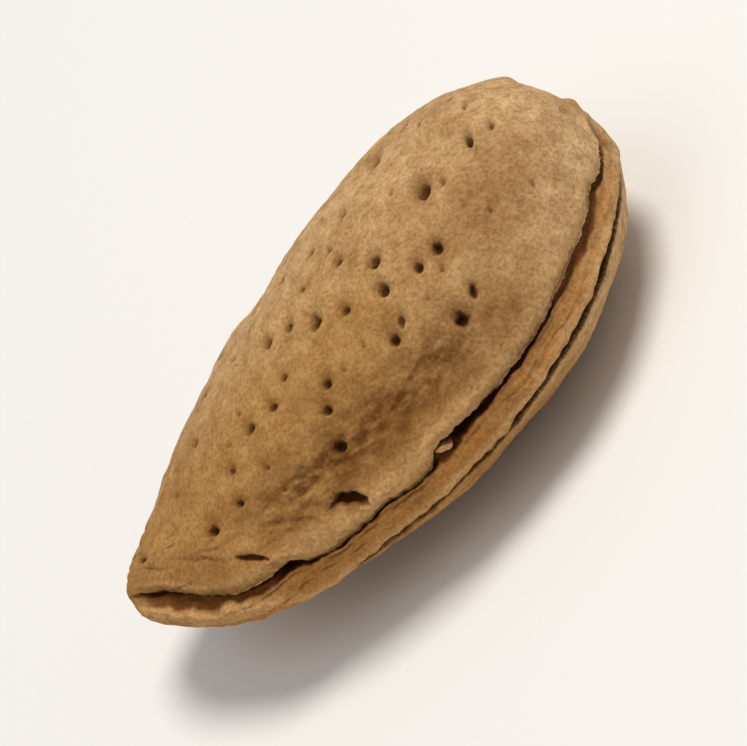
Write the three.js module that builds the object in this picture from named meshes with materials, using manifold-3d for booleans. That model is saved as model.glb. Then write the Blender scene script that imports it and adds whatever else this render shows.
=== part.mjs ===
// An almond in its shell, lying on its lower cheek.
// Millimetres. +X runs along the nut to its apex, +Y points to the ventral suture,
// and +Z is up. Z = 0 is the surface that it rests on, midway between its sides.
import * as THREE from "three";
import { mergeVertices } from "three/addons/utils/BufferGeometryUtils.js";
import Module from "manifold-3d";

// Driving dimensions
const nutLength = 40;
// Each side: how far it stands out, how far from the apex it does so, and the
// roundness of its run to the apex (two powers) and to the stem end (one power).
const ventralSide = { reach: 10.4, peak: 24.1, apexCurve: 1.95, apexTaper: 0.75, stemCurve: 1.87 };
const dorsalSide = { reach: 11.5, peak: 29.4, apexCurve: 3.3, apexTaper: 0.5, stemCurve: 1.8 };
const upperCheek = { reach: 7.75, peak: 28.9, apexCurve: 1.77, apexTaper: 0.74, stemCurve: 2.9 };
const lowerCheek = { reach: 7.65, peak: 22.8, apexCurve: 1.6, apexTaper: 1, stemCurve: 2.4 };
const apexLean = { shift: -2.8, length: 6.7 }; // the apex hooks towards the dorsal side
const stemLean = { shift: -0.6, length: 12 };
const keelSharpness = 1.15; // over 1 pinches the section at the suture
const footDepth = 0.3; // flattened off the lower cheek

const rib = { halfHeight: 1, halfDepth: 0.75, sunk: 0.5 };
const upperGroove = { height: 1.15, radius: 0.45, sunk: 0.05 };
const lowerGroove = { height: -1.2, radius: 0.28, sunk: 0.05 };
const endSink = { extra: 1.1, length: 1.6 }; // rib and grooves run out into both ends
const stemScar = { radius: 2.2, depth: 0.45, towardsSuture: 1.6 };

// Mesh fineness
const stations = 54;
const around = 46;
const seamSteps = 70;
const tubeSides = 10;

const shellMaterial = new THREE.MeshStandardMaterial({
  color: "#b08858",
  roughness: 0.85,
  metalness: 0,
});

// How far one side stands out at a distance from the apex.
function standOut(side, fromApex) {
  if (fromApex < side.peak) {
    const back = (side.peak - fromApex) / side.peak;
    return side.reach * (1 - back ** side.apexCurve) ** side.apexTaper;
  }
  const on = Math.min(1, (fromApex - side.peak) / (nutLength - side.peak));
  return side.reach * (1 - on ** side.stemCurve) ** (1 / side.stemCurve);
}

// Where the nut's middle line lies, sideways, at a distance from the apex.
function middleLine(fromApex) {
  const apexShare = Math.max(0, 1 - fromApex / apexLean.length);
  const stemShare = Math.max(0, 1 - (nutLength - fromApex) / stemLean.length);
  return apexLean.shift * apexShare ** 2 + stemLean.shift * stemShare ** 2;
}

const restHeight = lowerCheek.reach - footDepth;

// A point of the smooth shell. Angle 0 is the suture and a quarter turn the upper cheek.
function shellPoint(fromApex, angle) {
  const c = Math.cos(angle);
  const s = Math.sin(angle);
  const side = c > 0 ? ventralSide : dorsalSide;
  const cheek = s > 0 ? upperCheek : lowerCheek;
  const pinch = c > 0 ? keelSharpness : 1;
  return new THREE.Vector3(
    nutLength / 2 - fromApex,
    middleLine(fromApex) + standOut(side, fromApex) * c,
    restHeight + standOut(cheek, fromApex) * Math.sign(s) * Math.abs(s) ** pinch,
  );
}

// The smooth shell: rings of points that crowd towards both ends, closed at each end.
function shellGeometry() {
  const positions = [];
  const faces = [];
  for (let i = 1; i < stations; i++) {
    const fromApex = (nutLength * (1 - Math.cos((Math.PI * i) / stations))) / 2;
    for (let j = 0; j < around; j++) {
      positions.push(...shellPoint(fromApex, (2 * Math.PI * j) / around).toArray());
    }
  }
  const apex = positions.length / 3;
  positions.push(...shellPoint(0, 0).toArray());
  positions.push(...shellPoint(nutLength, 0).toArray());
  const lastRing = (stations - 2) * around;
  for (let j = 0; j < around; j++) {
    const next = (j + 1) % around;
    faces.push(apex, j, next);
    faces.push(apex + 1, lastRing + next, lastRing + j);
    for (let ring = 0; ring < lastRing; ring += around) {
      faces.push(ring + j, ring + around + j, ring + around + next);
      faces.push(ring + j, ring + around + next, ring + next);
    }
  }
  const geometry = new THREE.BufferGeometry();
  geometry.setAttribute("position", new THREE.Float32BufferAttribute(positions, 3));
  geometry.setIndex(faces);
  return geometry;
}

// A rod of elliptical section laid along the suture, sunk into the shell's edge.
function alongSuture(height, halfHeight, halfDepth, sunk, firstFromApex, lastFromApex) {
  const points = [];
  for (let i = 0; i <= seamSteps; i++) {
    const turn = (1 - Math.cos((Math.PI * i) / seamSteps)) / 2;
    const fromApex = firstFromApex + (lastFromApex - firstFromApex) * turn;
    const toEnd = Math.min(fromApex, nutLength - fromApex);
    const inward = sunk + endSink.extra * Math.exp(-toEnd / endSink.length);
    const point = shellPoint(fromApex, 0);
    points.push(point.setY(point.y - inward).setZ(point.z + height));
  }
  const path = new THREE.CatmullRomCurve3(points);
  const section = new THREE.Shape().absellipse(0, 0, halfDepth, halfHeight, 0, 2 * Math.PI);
  return new THREE.ExtrudeGeometry(new THREE.Shape(section.getPoints(tubeSides / 2)), {
    steps: seamSteps,
    extrudePath: path,
  });
}

const wasm = await Module();
wasm.setup();

function solid(geometry) {
  const bare = geometry.index ? geometry.clone() : geometry;
  bare.deleteAttribute("normal");
  bare.deleteAttribute("uv");
  const merged = mergeVertices(bare, 1e-4);
  return new wasm.Manifold(
    new wasm.Mesh({
      numProp: 3,
      vertProperties: merged.attributes.position.array,
      triVerts: new Uint32Array(merged.index.array),
    }),
  );
}

function almondGeometry() {
  const groove = ({ height, radius, sunk }) =>
    solid(alongSuture(height, radius, radius, sunk, 0.3, nutLength - 0.5));
  const ribRod = solid(
    alongSuture(0, rib.halfHeight, rib.halfDepth, rib.sunk, 0.9, nutLength - 0.5),
  );
  const scarBall = new THREE.SphereGeometry(stemScar.radius, 20, 14);
  const scarCentre = nutLength / 2 + stemScar.radius - stemScar.depth;
  scarBall.translate(-scarCentre, stemScar.towardsSuture, restHeight);
  const ground = new THREE.BoxGeometry(2 * nutLength, 2 * nutLength, nutLength);
  ground.translate(0, 0, -nutLength / 2);
  const cut = solid(shellGeometry())
    .add(ribRod)
    .subtract(groove(upperGroove))
    .subtract(groove(lowerGroove))
    .subtract(solid(scarBall))
    .subtract(solid(ground))
    .getMesh();
  const geometry = new THREE.BufferGeometry();
  const positions = new THREE.BufferAttribute(cut.vertProperties, 3);
  geometry.setAttribute("position", positions);
  geometry.setIndex(new THREE.BufferAttribute(cut.triVerts, 1));
  geometry.computeVertexNormals();
  geometry.computeBoundingBox();
  const middle = geometry.boundingBox.getCenter(new THREE.Vector3());
  geometry.translate(-middle.x, -middle.y, -geometry.boundingBox.min.z);
  return geometry;
}

const almond = new THREE.Mesh(almondGeometry(), shellMaterial);
almond.name = "almond";

const nut = new THREE.Group();
nut.add(almond);

export default nut;
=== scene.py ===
import math

import bpy
import numpy as np
from mathutils import Matrix, Vector


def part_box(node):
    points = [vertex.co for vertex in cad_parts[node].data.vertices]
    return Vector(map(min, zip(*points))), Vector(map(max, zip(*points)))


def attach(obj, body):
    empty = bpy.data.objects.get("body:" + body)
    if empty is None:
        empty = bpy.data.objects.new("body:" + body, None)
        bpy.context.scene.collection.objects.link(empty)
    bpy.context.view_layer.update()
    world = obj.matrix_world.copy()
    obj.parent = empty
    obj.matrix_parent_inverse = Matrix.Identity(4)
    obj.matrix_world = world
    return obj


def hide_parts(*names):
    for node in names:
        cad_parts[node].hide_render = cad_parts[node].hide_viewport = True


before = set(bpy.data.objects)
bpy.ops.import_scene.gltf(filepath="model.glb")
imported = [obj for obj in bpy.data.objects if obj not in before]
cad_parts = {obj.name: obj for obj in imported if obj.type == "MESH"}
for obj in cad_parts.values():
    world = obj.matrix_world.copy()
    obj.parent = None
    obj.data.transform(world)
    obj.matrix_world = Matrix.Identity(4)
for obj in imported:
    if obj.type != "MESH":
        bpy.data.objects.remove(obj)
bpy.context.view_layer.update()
print("frame loaded, nodes:", sorted(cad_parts))

mm = 0.001


# Millimetres, and places along the nut are counted from its apex. Each side has its reach,
# where that is, and the roundness of its run to both ends.
shell = {
    "length": 40,
    "ventral": {"reach": 10.5, "peak": 24.1, "apexCurve": 1.95, "apexTaper": 0.75, "stemCurve": 1.87},
    "dorsal": {"reach": 11.5, "peak": 29.4, "apexCurve": 3.3, "apexTaper": 0.5, "stemCurve": 1.8},
    "upper": {"reach": 7.75, "peak": 28.9, "apexCurve": 1.77, "apexTaper": 0.74, "stemCurve": 2.9},
    "lower": {"reach": 7.65, "peak": 22.8, "apexCurve": 1.6, "apexTaper": 1, "stemCurve": 2.4},
    "apexLean": (-2.8, 6.7),  # how far the apex hooks to the dorsal side, and over what length
    "stemLean": (-0.6, 12),
    "keelSharpness": 1.15,  # over 1 pinches the section at the seam
    "footDepth": 0.3,  # flattened off the lower cheek
    "rings": 900,
    "columns": 760,
    "triangles": 190000,  # after thinning
    "seed": 7,
}


def standOut(side, fromApex):
    # reach * (1 - back**apexCurve)**apexTaper before the peak, and a rounded
    # quarter reach * (1 - on**stemCurve)**(1/stemCurve) from there to the stem end
    back = np.clip((side["peak"] - fromApex) / side["peak"], 0, 1)
    on = np.clip((fromApex - side["peak"]) / (shell["length"] - side["peak"]), 0, 1)
    towardsApex = (1 - back ** side["apexCurve"]) ** side["apexTaper"]
    towardsStem = (1 - on ** side["stemCurve"]) ** (1 / side["stemCurve"])
    return side["reach"] * np.where(fromApex < side["peak"], towardsApex, towardsStem)


def middleLine(fromApex):
    apexShift, apexLength = shell["apexLean"]
    stemShift, stemLength = shell["stemLean"]
    apexShare = np.clip(1 - fromApex / apexLength, 0, 1)
    stemShare = np.clip(1 - (shell["length"] - fromApex) / stemLength, 0, 1)
    return apexShift * apexShare**2 + stemShift * stemShare**2


def smoothShell(fromApex, angle):
    # x runs back from the apex; y = middle line + reach * cos(angle), z = reach * sin(angle),
    # each with its own side's reach, so a section is four quarters of ellipses
    c, s = np.cos(angle), np.sin(angle)
    across = np.where(c > 0, standOut(shell["ventral"], fromApex), standOut(shell["dorsal"], fromApex))
    height = np.where(s > 0, standOut(shell["upper"], fromApex), standOut(shell["lower"], fromApex))
    pinch = np.where(c > 0, shell["keelSharpness"], 1)
    x = shell["length"] / 2 - fromApex
    y = middleLine(fromApex) + across * c
    z = height * np.sign(s) * np.abs(s) ** pinch
    return np.stack(np.broadcast_arrays(x, y, z), axis=-1)


def roughness(points, size, seed):
    # smooth random lumps from -1 to 1: random values at the corners of cells of that size,
    # blended across each cell by 3t^2 - 2t^3; the cells are turned so that they line up with nothing
    cells = 48
    turn = np.array(Matrix.Rotation(0.7, 3, Vector((1, 2, 3))))
    lattice = np.random.default_rng(seed).uniform(-1, 1, (cells, cells, cells))
    scaled = points @ turn / size + 500  # far enough for every cell's number to be positive
    cell = np.floor(scaled).astype(int)
    part = scaled - cell
    part = part * part * (3 - 2 * part)
    total = np.zeros(points.shape[:-1])
    for corner in np.ndindex(2, 2, 2):
        weight = np.prod(np.where(corner, part, 1 - part), axis=-1)
        index = (cell + np.array(corner)) % cells
        total += weight * lattice[index[..., 0], index[..., 1], index[..., 2]]
    return total


def step(value, low, high):
    # 0 below low and 1 above high, by 3t^2 - 2t^3 between them
    t = np.clip((value - low) / (high - low), 0, 1)
    return t * t * (3 - 2 * t)


def bell(value, middle, width):
    return np.exp(-(((value - middle) / width) ** 2))


def outwards(points):
    # unit normals of a grid of points that closes on itself around, from the cross product
    # of its two directions
    alongStep = np.gradient(points, axis=0)
    aroundStep = (np.roll(points, -1, axis=1) - np.roll(points, 1, axis=1)) / 2
    normal = np.cross(alongStep, aroundStep)
    size = np.linalg.norm(normal, axis=-1, keepdims=True)
    return normal / np.maximum(size, 1e-12)


def overSurface(points, keelColumn):
    # distance around each ring from its keel column, positive over the upper cheek
    gaps = np.linalg.norm(np.diff(points, axis=1), axis=-1)
    run = np.concatenate([np.zeros((len(points), 1)), np.cumsum(gaps, axis=1)], axis=1)
    return run - run[:, keelColumn : keelColumn + 1]


def fadeIn(fromApex, start, end, length):
    # 1 between start and end, falling smoothly to 0 over that length at both
    return step(fromApex, start, start + length) * (1 - step(fromApex, end - length, end))


def turned(along, over, turn):
    # lengthways and sideways of something whose long way is turned from the nut's long axis
    lengthways = along * math.cos(turn) + over * math.sin(turn)
    return lengthways, over * math.cos(turn) - along * math.sin(turn)


def alongTable(rows, fromApex):
    # each column of the rows after the first, between the distances that the first one gives
    table = np.array(rows, dtype=float)
    return [np.interp(fromApex, table[:, 0], table[:, i]) for i in range(1, table.shape[1])]


# The seam. Distances over the surface count from the middle of the rib, towards the upper cheek.
seam = {
    # fromApex, where the upper cheek ends, width of the channel under its edge, its depth
    "channel": [
        (0.4, 3.1, 1.8, 0.1), (1.2, 3.2, 2, 0.4), (2, 2.95, 1.8, 0.75), (3.2, 2.4, 1.45, 0.85),
        (4, 1.8, 0.95, 0.75), (5, 1.45, 0.65, 0.65), (7, 1.35, 0.55, 0.6), (7.8, 1.45, 0.7, 1.1),
        (8.7, 1.5, 0.8, 1.2), (9.3, 0.95, 0.5, 0.8), (10, 0.68, 0.3, 0.5),
        (12.5, 0.63, 0.27, 0.5), (14.5, 0.83, 0.29, 0.52), (16.5, 0.57, 0.27, 0.5),
        (17.9, 0.6, 0.3, 0.55), (18.5, 0.85, 0.5, 0.75), (18.9, 1.3, 0.95, 1),
        (19.5, 1.45, 1.1, 1.2), (20.2, 1.4, 0.9, 1.3), (21.5, 1.25, 0.8, 1.3),
        (22.8, 1.15, 0.6, 1.0), (24, 1.1, 0.42, 0.65), (28, 1.1, 0.38, 0.6),
        (30, 1.35, 0.5, 0.55), (31.5, 1.35, 0.75, 0.55), (35.5, 1.35, 0.95, 0.6),
        (36.5, 1.65, 0.9, 0.75), (37.6, 1.05, 0.6, 0.65), (38.6, 0.95, 0.45, 0.45),
        (39.4, 1.3, 0.3, 0.15),
    ],
    # fromApex, where the lower cheek's edge is
    "lowerEdge": [
        (0, -0.9), (5, -1.7), (9.5, -1.95), (13, -1.75), (16, -1.7), (18, -1.45), (22.5, -1.5),
        (25, -1.4), (28, -1.1), (38, -1.05),
    ],
    "nearApex": (4, 9),  # the stretch over which the open mouth at the apex comes to its end
    # lumps that make the seam ragged: their size and seed
    "lumps": {"coarse": (1.1, 21), "medium": (0.5, 27), "fine": (0.24, 22)},
    # how far the lumps move the edges and the hairlines, and how much they bend the fibre
    "edgeRagged": {"coarse": 0.09, "medium": 0.09, "fine": 0.06},
    "apexRagged": 0.13,  # the coarse lumps' further share near the apex
    "lowerRagged": {"coarse": 0.1, "medium": 0.08, "fine": 0.04},
    "hairRagged": {"coarse": 0.22, "fine": 0.05},
    "flakeRagged": {"medium": 0.2, "fine": 0.2},
    "widthRagged": 0.3,  # as a share of the channel's width
    # the channel's floor, and how much deeper its foot is, as shares of the depth
    "floorShare": 0.75,
    "footShare": 0.35,
    "lowerCrack": {
        "width": 0.6, "depth": 0.5, "from": 6, "to": 39, "fade": 2.5,
        "lipAt": 0.3, "lipRise": 0.14, "lipWidth": 0.45,
    },
    "rib": {
        "crestFromEdge": 0.42, "crestFromChannel": 0.45, "crossing": (4.5, 9), "crestWidth": 0.26,
        "widerAtApex": 0.45, "rise": 0.22, "sunk": 0.3, "hollowing": 1.5, "nodules": 0.7,
        "ridges": 0.13, "fade": 2.6,
    },
    "brink": {"width": 0.34, "drop": 0.2, "rimAt": 0.7, "rimWidth": 0.3, "rimRise": 0.05},
    "lip": {"at": 1.75, "width": 0.75, "rise": 0.26, "from": 6, "to": 26, "fade": 5},
    "trough": {"at": 4.8, "width": 1.9, "rise": -0.4, "from": 6, "to": 29, "fade": 7},
    # a torn fibre curled up in the widest part of the crack
    "flake": {"fromApex": 19.35, "over": 0.92, "length": 1.3, "width": 0.5, "turn": -0.5},
    # hairline cracks: from, to, place over the surface, width, depth
    "hairlines": [
        (2.5, 9, 0.45, 0.16, 0.1), (4, 13, -0.5, 0.2, 0.12), (9.6, 17.8, 0.1, 0.14, 0.14),
        (23, 33, -0.1, 0.12, 0.05),
    ],
}


def raggedBy(amounts, lumps):
    return sum(amount * lumps[name] for name, amount in amounts.items())


def ribRelief(line, fromApex, reach, points):
    # the rib is hollow from the channel up to a knotty crest: its height climbs from below the
    # surface by a power of the way to the crest, which runs by the lower crack and crosses over
    # to the channel near the apex
    rib = seam["rib"]
    ribStart = line["edge"] - line["width"]
    crossed = 1 - step(fromApex, *rib["crossing"])
    besideCrack = line["lowerEdge"] + rib["crestFromEdge"]
    besideChannel = ribStart - rib["crestFromChannel"]
    crestAt = besideCrack * (1 - crossed) + besideChannel * crossed
    towardsCrest = np.clip((ribStart - reach) / (ribStart - crestAt), 0, 1)
    climb = towardsCrest ** rib["hollowing"]
    foot = line["lowerEdge"] - 0.02
    share = step(line["inChannel"], 0.7, 1.15) * step(reach, foot, foot + 0.2)
    ends = fadeIn(fromApex, 0, shell["length"] - 0.4, rib["fade"])
    nodules = 1 + rib["nodules"] * (0.6 * roughness(points, 0.55, 24) + 0.4 * line["coarse"])
    stretched = np.stack([fromApex / 5, reach, 0 * reach], axis=-1)
    ridges = rib["ridges"] * roughness(stretched, 0.28, 26)
    height = share * ends * ((rib["rise"] * nodules + rib["sunk"]) * climb - rib["sunk"] + ridges)
    # the crest's bell marks it for the pale colour: partly real paler fibre, partly painted highlight
    paleCrestAndHighlight = share * bell(reach, crestAt, rib["crestWidth"] + rib["widerAtApex"] * line["nearApex"])
    return height, share * ends, paleCrestAndHighlight


def lowerCrackRelief(line, fromApex, reach):
    # a rounded groove, 1 - offset^2 to the power 0.6, with a low lip on the lower cheek's side
    crack = seam["lowerCrack"]
    share = fadeIn(fromApex, crack["from"], crack["to"], crack["fade"])
    farSide = line["lowerEdge"] - crack["width"]
    offset = (reach - line["lowerEdge"] + crack["width"] * 0.5) / (crack["width"] / 2)
    groove = np.clip(1 - offset**2, 0, 1) ** 0.6 * share
    # dark: painted shade over the groove
    dark = (1 - step(np.abs(offset), 0.9, 1.2)) * share
    lip = bell(reach, farSide - crack["lipAt"], crack["lipWidth"]) * (reach < farSide) * share
    return crack["lipRise"] * lip - crack["depth"] * groove, dark


def cheekEdgeRelief(line, fromApex, reach):
    # the upper cheek drops at its brink behind a thin rim, and a swollen lip and a broad
    # trough run along it, each a bell over the surface
    brink = seam["brink"]
    onCheek = (reach > line["edge"]) * fadeIn(fromApex, 0.4, shell["length"] - 0.6, 1.5)
    drop = onCheek * bell(reach, line["edge"], brink["width"])
    rim = onCheek * bell(reach, line["edge"] + brink["rimAt"], brink["rimWidth"])
    height = brink["rimRise"] * rim - brink["drop"] * drop
    # the rim's and lip's shares also colour them pale: partly real paler fibre, partly painted highlight
    shares = {"rim": rim}
    # the trough's share also colours it brown: partly real brown fibre, partly painted shade in the
    # sunken trough
    for name, where in (("lip", reach > line["edge"]), ("trough", True)):
        row = seam[name]
        stretch = fadeIn(fromApex, row["from"], row["to"], row["fade"])
        shares[name] = bell(reach, row["at"], row["width"]) * stretch * where
        height = height + row["rise"] * shares[name]
    return height, shares


def hairlineRelief(line, fromApex, reach, points):
    # hairline cracks: thin bells that wander with the lumps, broken where a noise is low
    depths, dark = np.zeros(reach.shape), np.zeros(reach.shape)
    for start, end, place, width, depth in seam["hairlines"]:
        crack = bell(reach, place + raggedBy(seam["hairRagged"], line), width / 2)
        crack = crack * fadeIn(fromApex, start, end, 1.5) * step(roughness(points, 0.9, 25), -0.5, 0.1)
        depths = np.maximum(depths, depth * crack)
        # dark: painted shade along each hairline
        dark = np.maximum(dark, crack)
    return -depths, dark


def flakeDistance(line, fromApex, reach):
    # 1 on the curled fibre's outline, an ellipse that the lumps make crooked
    flake = seam["flake"]
    lengthways, sideways = turned(fromApex - flake["fromApex"], reach - flake["over"], flake["turn"])
    far = np.hypot(lengthways / (flake["length"] / 2), sideways / (flake["width"] / 2))
    return far * (1 + raggedBy(seam["flakeRagged"], line))


def seamRelief(fromApex, reach, points):
    # the channel under the upper cheek's edge drops straight at the cheek's wall, is deepest at
    # its foot and rises to the rib; the rib, the cracks and the cheek's edge are added to it
    line = {name: roughness(points, size, seed) for name, (size, seed) in seam["lumps"].items()}
    line["nearApex"] = 1 - step(fromApex, *seam["nearApex"])
    edge, width, depth = alongTable(seam["channel"], fromApex)
    ragged = raggedBy(seam["edgeRagged"], line) + seam["apexRagged"] * line["coarse"] * line["nearApex"]
    line["edge"] = edge + ragged
    line["width"] = width * (1 + seam["widthRagged"] * roughness(points, 0.8, 23))
    line["lowerEdge"] = alongTable(seam["lowerEdge"], fromApex)[0] + raggedBy(seam["lowerRagged"], line)
    # 0 at the cheek's edge and 1 where the rib begins
    inChannel = line["inChannel"] = (line["edge"] - reach) / line["width"]

    wall = step(line["edge"] - reach, 0, 0.1)
    floor = wall * (1 - step(inChannel, 0.6, 1.12))
    foot = wall * (1 - step(inChannel, 0.1, 0.55))
    whole = wall * (1 - step(inChannel, 0.9, 1.2))
    flakeFar = flakeDistance(line, fromApex, reach)
    flakeShare = 1 - step(flakeFar, 0.7, 1.2)
    # loop marks the gap round the curled fibre for painted shade
    loop = wall * bell(flakeFar, 1.4, 0.28)  # the dark gap round the curled fibre

    ribHeight, ribShare, paleCrestAndHighlight = ribRelief(line, fromApex, reach, points)
    lowHeight, lowDark = lowerCrackRelief(line, fromApex, reach)
    edgeHeight, shares = cheekEdgeRelief(line, fromApex, reach)
    hairHeight, hairDark = hairlineRelief(line, fromApex, reach, points)
    dip = depth * (seam["floorShare"] * floor + seam["footShare"] * foot) * (1 - 0.9 * flakeShare)
    height = ribHeight + lowHeight + edgeHeight + hairHeight - dip

    # painted shade: a narrow deep channel is painted black right through, a wide shallow one only at its
    # foot; the gap round the curled fibre, the lower crack and the hairlines get it too
    narrowness = step(depth / line["width"], 0.95, 1.5)
    opened = step(depth, 0.05, 0.45)
    paintedHollowShade = np.maximum(np.maximum(foot * opened * 0.85, whole * narrowness), 0.9 * loop)
    paintedHollowShade = np.maximum(np.maximum(paintedHollowShade * (1 - flakeShare), lowDark), 0.4 * hairDark)
    # pale: crest, rim and lip are partly real paler fibre, partly painted highlight on these raised
    # edges; the curled fibre is pale
    pale = paleCrestAndHighlight + 0.4 * shares["rim"] + 0.7 * shares["lip"] + flakeShare * wall
    masks = {
        "paintedHollowShade": paintedHollowShade, "channel": whole * opened * (1 - flakeShare), "rib": ribShare,
        "pale": np.clip(pale, 0, 1), "trough": shares["trough"],
    }
    return height, masks


# Pores of the upper cheek: fromApex, distance over the surface from the rib's middle, width, length.
pits = {
    "upper": [
        (34, 10.3, 0.55, 0.94), (35.5, 9, 0.33, 0.38), (30.1, 12, 0.94, 1.12),
        (29.7, 18, 0.72, 0.94), (31.5, 19.3, 0.33, 0.5), (32.3, 17.5, 0.5, 0.62),
        (33.8, 19.3, 0.39, 1), (28, 8.9, 0.72, 0.81), (26.4, 9.2, 0.55, 0.69),
        (25, 12, 0.68, 0.88), (24.1, 10.2, 0.68, 0.94), (27.4, 5.6, 0.5, 1), (25.7, 5.2, 0.86, 1),
        (23.4, 8, 0.44, 0.88), (22.3, 7.5, 0.66, 0.75), (23.7, 14.4, 0.46, 0.62),
        (23.1, 17.4, 0.39, 0.5), (26, 17.2, 0.39, 0.62), (21.8, 11.4, 0.55, 0.62),
        (20.1, 12.6, 0.66, 1.38), (18.9, 14.3, 0.5, 0.81), (17.4, 14.9, 0.5, 1.19),
        (17.4, 18.3, 0.33, 1), (20.7, 18.6, 0.33, 0.5), (21.1, 15.6, 0.35, 0.5),
        (16.5, 11.4, 0.46, 0.62), (17.8, 8.7, 0.55, 0.69), (16.7, 7.5, 0.55, 0.69),
        (14.8, 10.3, 0.55, 0.69), (12.9, 10.3, 0.61, 0.88), (12.4, 17.5, 0.33, 0.62),
        (10, 13.5, 0.33, 0.88), (10.3, 8.7, 0.46, 0.56), (9.2, 6.4, 0.53, 0.62),
        (6.9, 5.9, 0.64, 0.72), (2.5, 6.9, 0.44, 0.56), (15.4, 5.3, 0.75, 0.94),
    ],
    # long holes: also their turn in radians from the nut's long axis, and how blunt their ends
    # are, where 2 is an ellipse
    "slots": [
        (13.7, 2.35, 0.82, 1.9, -0.75, 2.6),
        (12.8, 2.75, 0.4, 1.2, 0.35, 2),
        (7.3, 2.95, 0.46, 1.8, -0.7, 2.6),
    ],
    "slant": (-0.4, -0.9),  # pores run in towards the apex and the seam
    "faint": 34,  # small pores strewn between those above
    "lowerCheek": 52,  # pores strewn over the hidden cheek
    "rimRise": 0.13,  # shares of a pore's width, as the next two
    "rampDepth": 0.42,
    "holeDepth": (0.42, 0.67),  # of the smallest and the largest pores
}


def pitList(rng):
    # the large pores, then faint ones strewn over both cheeks; lower cheek distances are negative
    rows = [list(row) for row in pits["upper"]]
    for i in range(pits["faint"] + pits["lowerCheek"]):
        isUpper = i < pits["faint"]
        while True:
            fromApex = rng.uniform(5, 37)
            over = rng.uniform(4.5, 21) * (1 if isUpper else -1)
            near = min(math.hypot(fromApex - r[0], over - r[1]) for r in rows)
            if near > (1.3 if isUpper else 1.9):
                break
        width = rng.uniform(0.14, 0.26) if isUpper else rng.uniform(0.35, 0.7)
        rows.append([fromApex, over, width, width * rng.uniform(1, 1.6)])
    return rows


def pitRelief(points, fromApex, reach, rng):
    # each pore slants in: a soft ramp leads down to a crooked hole with a steep far wall and
    # a raised rim beyond it
    height = np.zeros(reach.shape)
    dark = np.zeros(reach.shape)
    crooked = roughness(points, 0.3, 31)
    leanAlong, leanOver = pits["slant"]
    pores = []
    for row in pitList(rng):
        # the long way of the pore, within 20 degrees or so of the common slant
        turn = math.atan2(leanOver * np.sign(row[1]), leanAlong) + rng.uniform(-0.35, 0.35)
        pores.append((*row, turn, 2))
    for placeAlong, placeOver, width, length, turn, power in pits["slots"] + pores:
        near = (np.abs(fromApex - placeAlong) < 3) & (np.abs(reach - placeOver) < 3)
        along = fromApex[near] - placeAlong
        over = reach[near] - placeOver
        inwards, sideways = turned(along, over, turn)
        far = (np.abs(inwards) / (length / 2)) ** power + (np.abs(sideways) / (width / 2)) ** power
        far = far ** (1 / power) * (1 + 0.3 * crooked[near])
        hole = 1 - step(far, 0.45 if power == 2 else 0.65, 1.15)
        rampLength = np.where(inwards < 0, 1.15 * width + 0.3, 0.6 * width)
        ramp = np.exp(-((inwards / rampLength) ** 2) - (sideways / (0.68 * width + 0.1)) ** 2)
        rim = bell(far, 1.45, 0.3) * step(inwards, -0.1 * width, 0.5 * width)
        big = step(width, 0.25, 0.55)
        shallow, deep = pits["holeDepth"]
        holeDepth = shallow + (deep - shallow) * big
        height[near] += width * (pits["rimRise"] * rim - holeDepth * hole - pits["rampDepth"] * ramp)
        # dark: painted shade, deep in the hole and lighter on the ramp down to it
        dark[near] = np.maximum(dark[near], np.maximum((0.5 + 0.5 * big) * hole, 0.42 * ramp))
    return height, dark


# Lumps all over the shell: their size, rise and seed
swells = [(6.5, 0.2, 11), (2.4, 0.1, 12), (1.1, 0.06, 13), (0.45, 0.03, 14)]

# Hollows and swellings: fromApex, distance over the surface, radius, rise
dents = [
    (18.9, 22.6, 1.7, -0.2), (15.8, 22.2, 2.2, 0.15), (15.4, 8.8, 0.9, -0.16),
    (30.4, 12.4, 1.5, -0.16), (27.5, 14.5, 2.5, 0.18), (32, 6.5, 2.5, 0.12),
    (20.5, 8.5, 2.2, 0.15), (14.4, 4.6, 0.9, -0.14), (24.5, 20, 2.4, 0.15), (12, 14, 2.5, 0.12),
    (22, -7, 3, -0.3), (30, -13, 3, 0.25), (12, -12, 2.5, -0.2),
]

# Soft creases of the apex half: fromApex, distance over the surface, length, width, depth and
# turn from the nut's long axis
creases = [
    (5.3, 4.45, 2.8, 0.42, 0.13, -0.72), (2.8, 5.3, 2, 0.4, 0.1, -0.75),
    (10.8, 3.1, 2.2, 0.4, 0.14, -0.75), (12.8, 5.1, 1.6, 0.45, 0.14, -0.7),
    (9.8, 4, 1.8, 0.36, 0.1, -0.6), (16.5, 4.7, 1.8, 0.5, 0.12, -0.3),
]

# Thin folds and uneven skin beside the seam: where each range ends, they have faded out
foldedSkin = {
    "over": (4.5, 8),
    "fromApex": (16, 24),
    "atTip": (3, 9),  # round the whole tip, this far from the apex
    "offRib": (1.2, 2),  # none on the rib itself
    "foldSize": 0.75,
    "foldDepth": 0.07,
    "unevenSize": 0.8,
    "uneven": 0.07,
}


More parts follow.
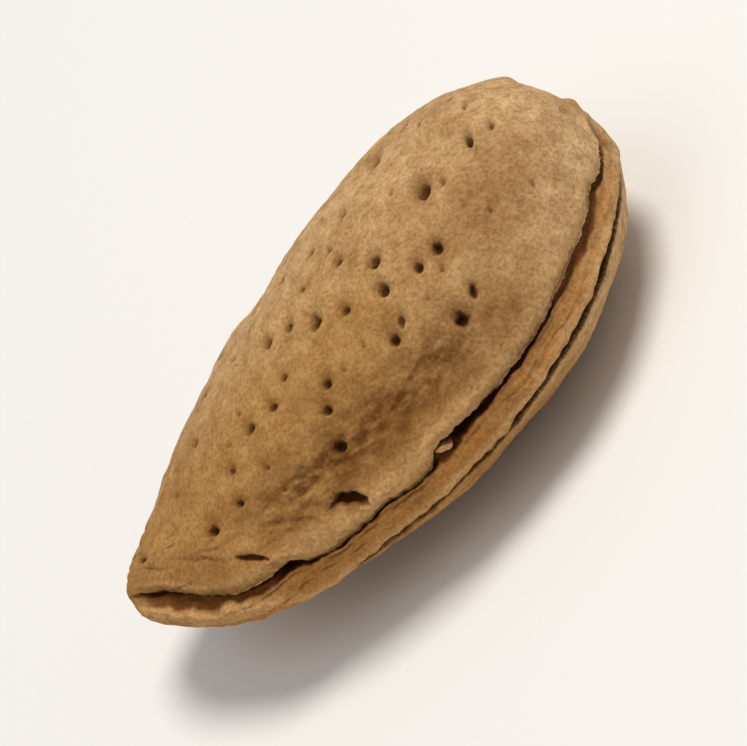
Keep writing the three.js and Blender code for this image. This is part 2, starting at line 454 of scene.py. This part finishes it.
def shellRelief(points, fromApex, reach):
    # lumps, swellings and hollows, thin folds, and soft creases: a fold is where noise that is
    # stretched along the nut crosses zero, and a crease is a bell both ways
    height = sum(rise * roughness(points, size, seed) for size, rise, seed in swells)
    skin = foldedSkin
    for placeAlong, placeOver, radius, rise in dents:
        height += rise * bell(np.hypot(fromApex - placeAlong, reach - placeOver), 0, radius)
    stretched = np.stack([fromApex / 3, np.abs(reach), 0 * reach], axis=-1)
    crossing = np.abs(roughness(stretched, skin["foldSize"], 15))
    alongSeam = (1 - step(np.abs(reach), *skin["over"])) * (1 - step(fromApex, *skin["fromApex"]))
    tipShare = 1 - step(fromApex, *skin["atTip"])
    folded = np.clip(alongSeam + tipShare, 0, 1) * step(np.abs(reach), *skin["offRib"])
    folds = (1 - step(crossing, 0.02, 0.3)) * folded * step(roughness(points, 1.3, 16), -0.1, 0.5)
    height += folded * skin["uneven"] * roughness(stretched, skin["unevenSize"], 17)
    height -= skin["foldDepth"] * folds
    wavy = 0.2 * roughness(points, 1.1, 13) + 0.06 * roughness(points, 0.45, 14)
    for placeAlong, placeOver, length, width, depth, turn in creases:
        lengthways, sideways = turned(fromApex - placeAlong, reach - placeOver, turn)
        crease = bell(lengthways, 0, length / 2) * bell(sideways + wavy, 0, width / 2)
        height -= depth * crease
        folds = np.maximum(folds, crease)
    # folds, with the creases, is returned as the mask for painted shade in them
    return height, folds


# Where the felt is worn browner: fromApex, distance over the surface, radius, strength
stains = [
    (31.5, 7.5, 2.8, 0.9), (34, 8.5, 1.6, 0.5), (27.5, 3.6, 2, 0.9), (25.6, 7, 1, 0.5),
    (23.5, 3.6, 2.2, 0.8), (19, 4.2, 2.6, 1), (14.6, 4.6, 1.5, 1), (10.8, 3.4, 1.8, 0.7),
    (17, 6.2, 1.4, 0.5), (30, 12.2, 1.1, 0.5), (15.4, 8.9, 1, 0.6), (5, 2.9, 1.6, 0.6),
    (1.5, 4, 2, 0.5), (24, -6, 3.5, 0.6), (12, -9, 3, 0.6), (31, -12, 3.5, 0.6),
    (34, 15, 1.6, 0.25),
]


def stainShare(points, fromApex, reach):
    # soft patches with a ragged outline
    total = np.zeros(reach.shape)
    ragged = 1 + 0.5 * roughness(points, 1.3, 51) + 0.3 * roughness(points, 0.5, 52)
    for placeAlong, placeOver, radius, strength in stains:
        far = np.hypot(fromApex - placeAlong, reach - placeOver) * ragged
        total = np.maximum(total, strength * bell(far, 0, radius))
    return total


# The stem end: a shallow scar where the stalk let go, beside the seam, and knobs round it
stemEnd = {
    "scarTowardsSeam": 1.6,
    "scarRadius": 1.4,
    "scarDepth": 0.45,
    "scarRim": 0.14,
    # fromApex, degrees round from the seam, radius, rise
    "knobs": [
        (38.75, 127, 1.1, 0.25), (39.95, 107, 0.7, 0.3), (39.5, 120, 1.2, -1.2), (39.1, 50, 0.3, -0.3),
    ],
}


def stemRelief(points, fromApex):
    # the scar is a bowl with a rough rim round it; knobs are bumps by distance in space
    height = np.zeros(fromApex.shape)
    atStem = fromApex > shell["length"] - 2.5
    far = np.hypot(points[..., 1] - stemEnd["scarTowardsSeam"], points[..., 2]) / stemEnd["scarRadius"]
    far = far * (1 + 0.12 * roughness(points, 0.8, 41))
    bowl = atStem * (1 - step(far, 0.15, 1.1))
    rim = atStem * bell(far, 1.25, 0.22) * (1 + 0.5 * roughness(points, 0.6, 42))
    height += stemEnd["scarRim"] * rim - stemEnd["scarDepth"] * bowl
    height += bowl * 0.12 * roughness(points, 0.4, 43)
    for placeAlong, degrees, radius, rise in stemEnd["knobs"]:
        centre = smoothShell(np.float64(placeAlong), np.float64(math.radians(degrees)))
        height += rise * bell(np.linalg.norm(points - centre, axis=-1), 0, radius)
    return height, bowl


def gridFaces(rings, columns):
    # four-sided faces between the rings, and a fan of triangles at each end
    base = np.arange(rings - 1)[:, None] * columns + np.arange(columns)
    side = np.arange(rings - 1)[:, None] * columns + (np.arange(columns) + 1) % columns
    quads = np.stack([base, base + columns, side + columns, side], axis=-1).reshape(-1, 4)
    first, second = np.arange(columns), (np.arange(columns) + 1) % columns
    apex, stem = rings * columns, rings * columns + 1
    last = (rings - 1) * columns
    apexFan = np.stack([np.full(columns, apex), first, second], axis=-1)
    stemFan = np.stack([np.full(columns, stem), last + second, last + first], axis=-1)
    return quads, np.concatenate([apexFan, stemFan])


def addObject(name, data):
    thing = bpy.data.objects.new(name, data)
    bpy.context.scene.collection.objects.link(thing)
    return thing


def meshOf(name, vertices, quads, triangles):
    mesh = bpy.data.meshes.new(name)
    corners = np.concatenate([quads.ravel(), triangles.ravel()])
    sizes = np.repeat([4, 3], [len(quads), len(triangles)])
    starts = np.cumsum(sizes) - sizes
    mesh.vertices.add(len(vertices))
    mesh.vertices.foreach_set("co", vertices.astype(np.float32).ravel())
    mesh.loops.add(len(corners))
    mesh.loops.foreach_set("vertex_index", corners.astype(np.int32))
    mesh.polygons.add(len(starts))
    mesh.polygons.foreach_set("loop_start", starts.astype(np.int32))
    mesh.update(calc_edges=True)
    return mesh


def addAttribute(mesh, name, kind, values):
    field = "vector" if kind == "FLOAT_VECTOR" else "value"
    mesh.attributes.new(name, kind, "POINT").data.foreach_set(field, values.astype(np.float32).ravel())


def withPoles(values):
    # the values of every ring, then the two poles, which take their nearest ring's first value
    flat = values.reshape(-1, *values.shape[2:])
    return np.concatenate([flat, values[0, :1], values[-1, :1]])


def columnAngles(columns):
    # columns crowd towards the seam, which has the finest relief: their number per degree
    # is 1 + 2.5 * a bell 18 degrees wide, with the lower cheek a little sparser
    fine = np.linspace(-math.pi, math.pi, 7201)  # every twentieth of a degree
    density = 1 + 2.5 * bell(fine, 0.05, 0.32) + 0.35 * step(fine, -0.3, 0.3)
    run = np.concatenate([[0], np.cumsum((density[1:] + density[:-1]) / 2)])
    angles = np.interp(np.arange(columns) / columns * run[-1], run, fine)
    keelColumn = int(np.argmin(np.abs(angles)))
    return angles - angles[keelColumn], keelColumn


def makeShell():
    coarser = 1
    rings, columns = shell["rings"] // coarser, shell["columns"] // coarser
    # rings crowd towards both ends: half the length * (1 - cos(180 degrees * share))
    share = np.arange(1, rings + 1) / (rings + 1)
    fromApex = shell["length"] * (1 - np.cos(math.pi * share[:, None])) / 2
    angles, keelColumn = columnAngles(columns)
    fromApex = np.broadcast_to(fromApex, (rings, columns))
    points = smoothShell(fromApex, angles[None, :])
    normal = outwards(points)
    reach = overSurface(points, keelColumn)

    seamHeight, masks = seamRelief(fromApex, reach, points)
    pitHeight, pitPaintedShade = pitRelief(points, fromApex, reach, np.random.default_rng(shell["seed"]))
    grainHeight, folds = shellRelief(points, fromApex, reach)
    stemHeight, scar = stemRelief(points, fromApex)
    seamShare = 1 - scar  # the seam stops at the stem's scar
    ends = fadeIn(fromApex, 0, shell["length"], 0.4)
    grainShare = 1 - 0.6 * masks["paintedHollowShade"]  # cracks are smoother inside
    height = seamHeight * seamShare + pitHeight + grainHeight * grainShare
    points = points + normal * (height * ends + stemHeight)[..., None]
    masks = {name: values * seamShare for name, values in masks.items()}
    masks.update({"pitPaintedShade": pitPaintedShade, "folds": folds, "scar": scar})
    masks["stain"] = stainShare(points, fromApex, reach)

    poles = np.array([smoothShell(0.0, 0.0), points[-1].mean(axis=0)])
    vertices = np.concatenate([points.reshape(-1, 3), poles])
    # it rests on its flattened foot, in the middle of the part's box
    vertices[:, 2] = np.maximum(vertices[:, 2] + shell["lower"]["reach"] - shell["footDepth"], 0)
    vertices = vertices * mm
    low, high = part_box("almond")
    shift = (np.array(low + high) - vertices.max(axis=0) - vertices.min(axis=0)) / 2
    vertices[:, :2] += shift[:2]

    mesh = meshOf("almondShell", vertices, *gridFaces(rings, columns))
    # the fibre's own directions: along the nut, off the seam, and up or down
    side = 5 * np.sin(np.broadcast_to(angles, reach.shape))
    path = np.stack([fromApex, np.abs(reach), side], axis=-1)
    addAttribute(mesh, "grainPath", "FLOAT_VECTOR", withPoles(path))
    for name, values in masks.items():
        addAttribute(mesh, name, "FLOAT", withPoles(values))
    piece = addObject("almondShell", mesh)
    thinMesh(piece, shell["triangles"])
    piece.data.shade_smooth()
    print("shell made:", len(piece.data.polygons), "faces")
    return piece


def thinMesh(piece, triangles):
    # the dense grid loses faces where it is nearly flat and keeps them at pits and cracks
    before = sum(len(face.vertices) - 2 for face in piece.data.polygons)
    thin = piece.modifiers.new("thin", "DECIMATE")
    thin.ratio = triangles / before
    evaluated = piece.evaluated_get(bpy.context.evaluated_depsgraph_get())
    thinned = bpy.data.meshes.new_from_object(evaluated)
    piece.modifiers.clear()
    piece.data = thinned


def linearColour(hexText):
    values = [int(hexText[i : i + 2], 16) / 255 for i in (1, 3, 5)]
    return [v / 12.92 if v <= 0.04045 else ((v + 0.055) / 1.055) ** 2.4 for v in values] + [1]


def addNode(tree, kind, inputs=None, **settings):
    node = tree.nodes.new(kind)
    for name, value in settings.items():
        setattr(node, name, value)
    for name, value in (inputs or {}).items():
        if isinstance(value, bpy.types.NodeSocket):
            tree.links.new(value, node.inputs[name])
        else:
            node.inputs[name].default_value = value
    return node


def newMaterial(name):
    material = bpy.data.materials.new(name)
    material.use_nodes = True
    material.node_tree.nodes.clear()
    return material, material.node_tree


# Dried almond shell: woody and never polished, its skin a fine felt, so it has no shine and looks
# mottled:
# pale where the felt is whole, browner where it is worn; painted shade darkens the pores, cracks, folds,
# creases and, in part, the trough, and painted light partly brightens the stem end, the dorsal edge and
# the raised crest, rim and lip
shellFinish = {
    "pale": "#c2975d",
    "paleToneAndPaintedLight": "#e4c193",
    "brown": "#9b6d38",
    "warm": "#93612b",
    "rib": "#bd8142",
    "paleCrestAndHighlight": "#d6ac76",
    "channel": "#74441a",
    "trough": "#633a12",
    "foldAndCreaseShade": "#76491f",
    "poreRampShade": "#7b4f22",
    "stain": "#8a5a2a",
    "scar": "#84582c",
    "paintedHollowShade": "#381204",
    "grain": "#ddd0bd",
    "blotch": 3.4,  # millimetres, as the other sizes and the reliefs below
    "mottle": 1.1,
    "felt": 0.24,
    "fibre": 0.65,
    "fibreStretch": 0.58,  # under 1 draws the fibre out along the nut
    "feltRelief": 0.1,
    "mottleRelief": 0.16,
    "roughness": 0.9,
    "specular": 0.12,
}


def driedShell():
    material, tree = newMaterial("driedAlmondShell")
    finish = shellFinish
    place = addNode(tree, "ShaderNodeTexCoord").outputs["Object"]
    path = addNode(tree, "ShaderNodeAttribute", attribute_name="grainPath").outputs["Vector"]
    mask = {}
    for name in ("paintedHollowShade", "channel", "pitPaintedShade", "rib", "pale", "trough", "folds", "scar", "stain"):
        mask[name] = addNode(tree, "ShaderNodeAttribute", attribute_name=name).outputs["Fac"]
    noises = {}
    for name, detail in (("blotch", 3), ("mottle", 4), ("felt", 3)):
        scale = 1 / (finish[name] * mm)
        settings = {"Vector": place, "Scale": scale, "Detail": detail, "Roughness": 0.62}
        noises[name] = addNode(tree, "ShaderNodeTexNoise", settings).outputs["Fac"]
    settings = {"Vector": path, "Scale": (finish["fibreStretch"], 1, 1)}
    alongFibre = addNode(tree, "ShaderNodeMapping", settings).outputs["Vector"]
    settings = {"Vector": alongFibre, "Scale": 1 / finish["fibre"], "Detail": 3}
    noises["fibre"] = addNode(tree, "ShaderNodeTexNoise", settings).outputs["Fac"]

    ways = addNode(tree, "ShaderNodeSeparateXYZ", {"Vector": path})
    fromApex, fromSeam = ways.outputs["X"], ways.outputs["Y"]
    # layers of colour: what a layer follows, that value's range, how much of the layer shows at
    # both ends of the range, the mask it is kept to, and its colour
    layers = [
        # paler towards the stem end and the dorsal edge: partly the shell's own paler tone, partly
        # painted light, a painted highlight on the lit stem end and a painted sheen along the edge
        (fromApex, 20, 38, 0, 1, None, "paleToneAndPaintedLight"),
        (fromSeam, 11, 20, 0, 0.8, None, "paleToneAndPaintedLight"),
        (noises["mottle"], 0.36, 0.72, 0, 0.65, None, "brown"),
        (noises["blotch"], 0.46, 0.7, 0, 0.4, None, "warm"),
        (noises["mottle"], 0.35, 0.6, 1, 0.4, mask["stain"], "stain"),
        # trough brown: partly real brown fibre, partly painted shade in the sunken trough
        (noises["fibre"], 0.33, 0.6, 0, 0.9, mask["trough"], "trough"),
        (noises["fibre"], 0.3, 0.65, 0.25, 0.85, mask["rib"], "rib"),
        # pale crest, rim, lip and curled fibre: partly real paler fibre, partly painted highlight on
        # raised edges
        (noises["mottle"], 0.3, 0.6, 1, 0.6, mask["pale"], "paleCrestAndHighlight"),
        (mask["channel"], 0, 1, 0, 0.95, None, "channel"),
        # painted shade in the folds and creases
        (mask["folds"], 0, 1, 0, 0.45, None, "foldAndCreaseShade"),
        (mask["scar"], 0, 1, 0, 0.8, None, "scar"),
        # painted shade in the pores: brown on the ramp, near black in the hole
        (mask["pitPaintedShade"], 0.05, 0.42, 0, 0.75, None, "poreRampShade"),
        (mask["pitPaintedShade"], 0.45, 1, 0, 0.85, None, "paintedHollowShade"),
        # painted shade in the cracks, the gap round the curled fibre and the hairlines
        (mask["paintedHollowShade"], 0, 1, 0, 0.95, None, "paintedHollowShade"),
    ]
    colour = linearColour(finish["pale"])
    for value, low, high, least, most, where, name in layers:
        settings = {"Value": value, "From Min": low, "From Max": high, "To Min": least, "To Max": most}
        shown = addNode(tree, "ShaderNodeMapRange", settings).outputs["Result"]
        if where:
            shown = addNode(tree, "ShaderNodeMath", {0: shown, 1: where}, operation="MULTIPLY").outputs[0]
        settings = {0: shown, 6: colour, 7: linearColour(finish[name])}
        colour = addNode(tree, "ShaderNodeMix", settings, data_type="RGBA").outputs[2]
    # the felt's own grain, browner between its tufts
    settings = {"Value": noises["felt"], "From Min": 0.34, "From Max": 0.62, "To Min": 1, "To Max": 0}
    between = addNode(tree, "ShaderNodeMapRange", settings).outputs["Result"]
    settings = {0: between, 6: colour, 7: linearColour(finish["grain"])}
    tufts = addNode(tree, "ShaderNodeMix", settings, data_type="RGBA", blend_type="MULTIPLY")
    colour = tufts.outputs[2]

    settings = {"Height": noises["felt"], "Distance": finish["feltRelief"] * mm, "Strength": 0.8}
    feltBump = addNode(tree, "ShaderNodeBump", settings).outputs["Normal"]
    settings = {"Height": noises["mottle"], "Distance": finish["mottleRelief"] * mm, "Strength": 0.8}
    settings["Normal"] = feltBump
    mottleBump = addNode(tree, "ShaderNodeBump", settings).outputs["Normal"]
    surface = addNode(tree, "ShaderNodeBsdfPrincipled", {
        "Base Color": colour,
        "Roughness": finish["roughness"],
        "Specular IOR Level": finish["specular"],
        "Normal": mottleBump,
    })
    addNode(tree, "ShaderNodeOutputMaterial", {"Surface": surface.outputs["BSDF"]})
    return material


stage = {
    "floorSide": 6.0,  # metres
    "floorColour": "#f4f3f1",
    "floorRoughness": 0.9,
    "fromCheek": 52,  # degrees from straight down on the nut, round towards its seam
    "axisTilt": 50,  # degrees: how the nut's long axis leans in the picture
    "frameWidth": 44.5,  # millimetres across the picture at the nut
    "focalLength": 200,
    "sensor": 36,
    # each light's place in the picture: right, up and towards the camera; then metres away,
    # metres across and watts
    "key": {"from": (-0.35, 0.75, 0.6), "distance": 0.6, "size": 0.25, "watts": 2.5, "colour": "#fffaf2"},
    "fill": {"from": (-0.7, 0.1, 0.7), "distance": 0.8, "size": 0.6, "watts": 1.0, "colour": "#ffffff"},
    "skyStrength": 0.3,
}


def makeFloor():
    half = stage["floorSide"] / 2
    corners = [(-half, -half, 0), (half, -half, 0), (half, half, 0), (-half, half, 0)]
    mesh = bpy.data.meshes.new("floor")
    mesh.from_pydata(corners, [], [(0, 1, 2, 3)])
    floor = addObject("floor", mesh)
    material, tree = newMaterial("mattPaintedBoard")
    settings = {"Base Color": linearColour(stage["floorColour"]), "Roughness": stage["floorRoughness"]}
    surface = addNode(tree, "ShaderNodeBsdfPrincipled", settings)
    addNode(tree, "ShaderNodeOutputMaterial", {"Surface": surface.outputs["BSDF"]})
    mesh.materials.append(material)


def pictureAxes():
    # right, up and back of the picture, for a camera that looks from the seam side
    # and is rolled until the nut's long axis leans as it should
    down, lean = math.radians(stage["fromCheek"]), math.radians(stage["axisTilt"])
    back = Vector((0, math.sin(down), math.cos(down)))
    levelRight = Vector((-1, 0, 0))
    levelUp = back.cross(levelRight)
    right = levelRight * math.cos(lean) - levelUp * math.sin(lean)
    up = levelRight * math.sin(lean) + levelUp * math.cos(lean)
    return right, up, back


def makeCamera(target):
    right, up, back = pictureAxes()
    data = bpy.data.cameras.new("camera")
    data.lens = stage["focalLength"]
    data.sensor_width = stage["sensor"]
    data.clip_start = 0.01
    distance = stage["frameWidth"] / stage["sensor"] * stage["focalLength"] * mm
    camera = addObject("camera", data)
    rotation = Matrix((right, up, back)).transposed().to_4x4()
    camera.matrix_world = Matrix.Translation(target + back * distance) @ rotation
    bpy.context.scene.camera = camera


def addSoftLight(name, target):
    light = stage[name]
    direction = sum((axis * amount for axis, amount in zip(pictureAxes(), light["from"])), Vector())
    direction.normalize()
    data = bpy.data.lights.new(name, "AREA")
    data.shape = "DISK"
    data.size = light["size"]
    data.energy = light["watts"]
    data.color = linearColour(light["colour"])[:3]
    aim = direction.to_track_quat("Z", "Y").to_matrix().to_4x4()
    lamp = addObject(name, data)
    lamp.matrix_world = Matrix.Translation(target + direction * light["distance"]) @ aim


def makeLight(target):
    addSoftLight("key", target)
    addSoftLight("fill", target)
    world = bpy.data.worlds.new("studio")
    world.use_nodes = True
    background = world.node_tree.nodes["Background"]
    background.inputs["Color"].default_value = (1, 1, 1, 1)
    background.inputs["Strength"].default_value = stage["skyStrength"]
    bpy.context.scene.world = world
    bpy.context.scene.view_settings.view_transform = "Standard"


almondShell = makeShell()
almondShell.data.materials.append(driedShell())
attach(almondShell, "root")
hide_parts("almond")
print("materials made")

low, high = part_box("almond")
makeFloor()
makeCamera((low + high) / 2)
makeLight((low + high) / 2)
print("stage made")
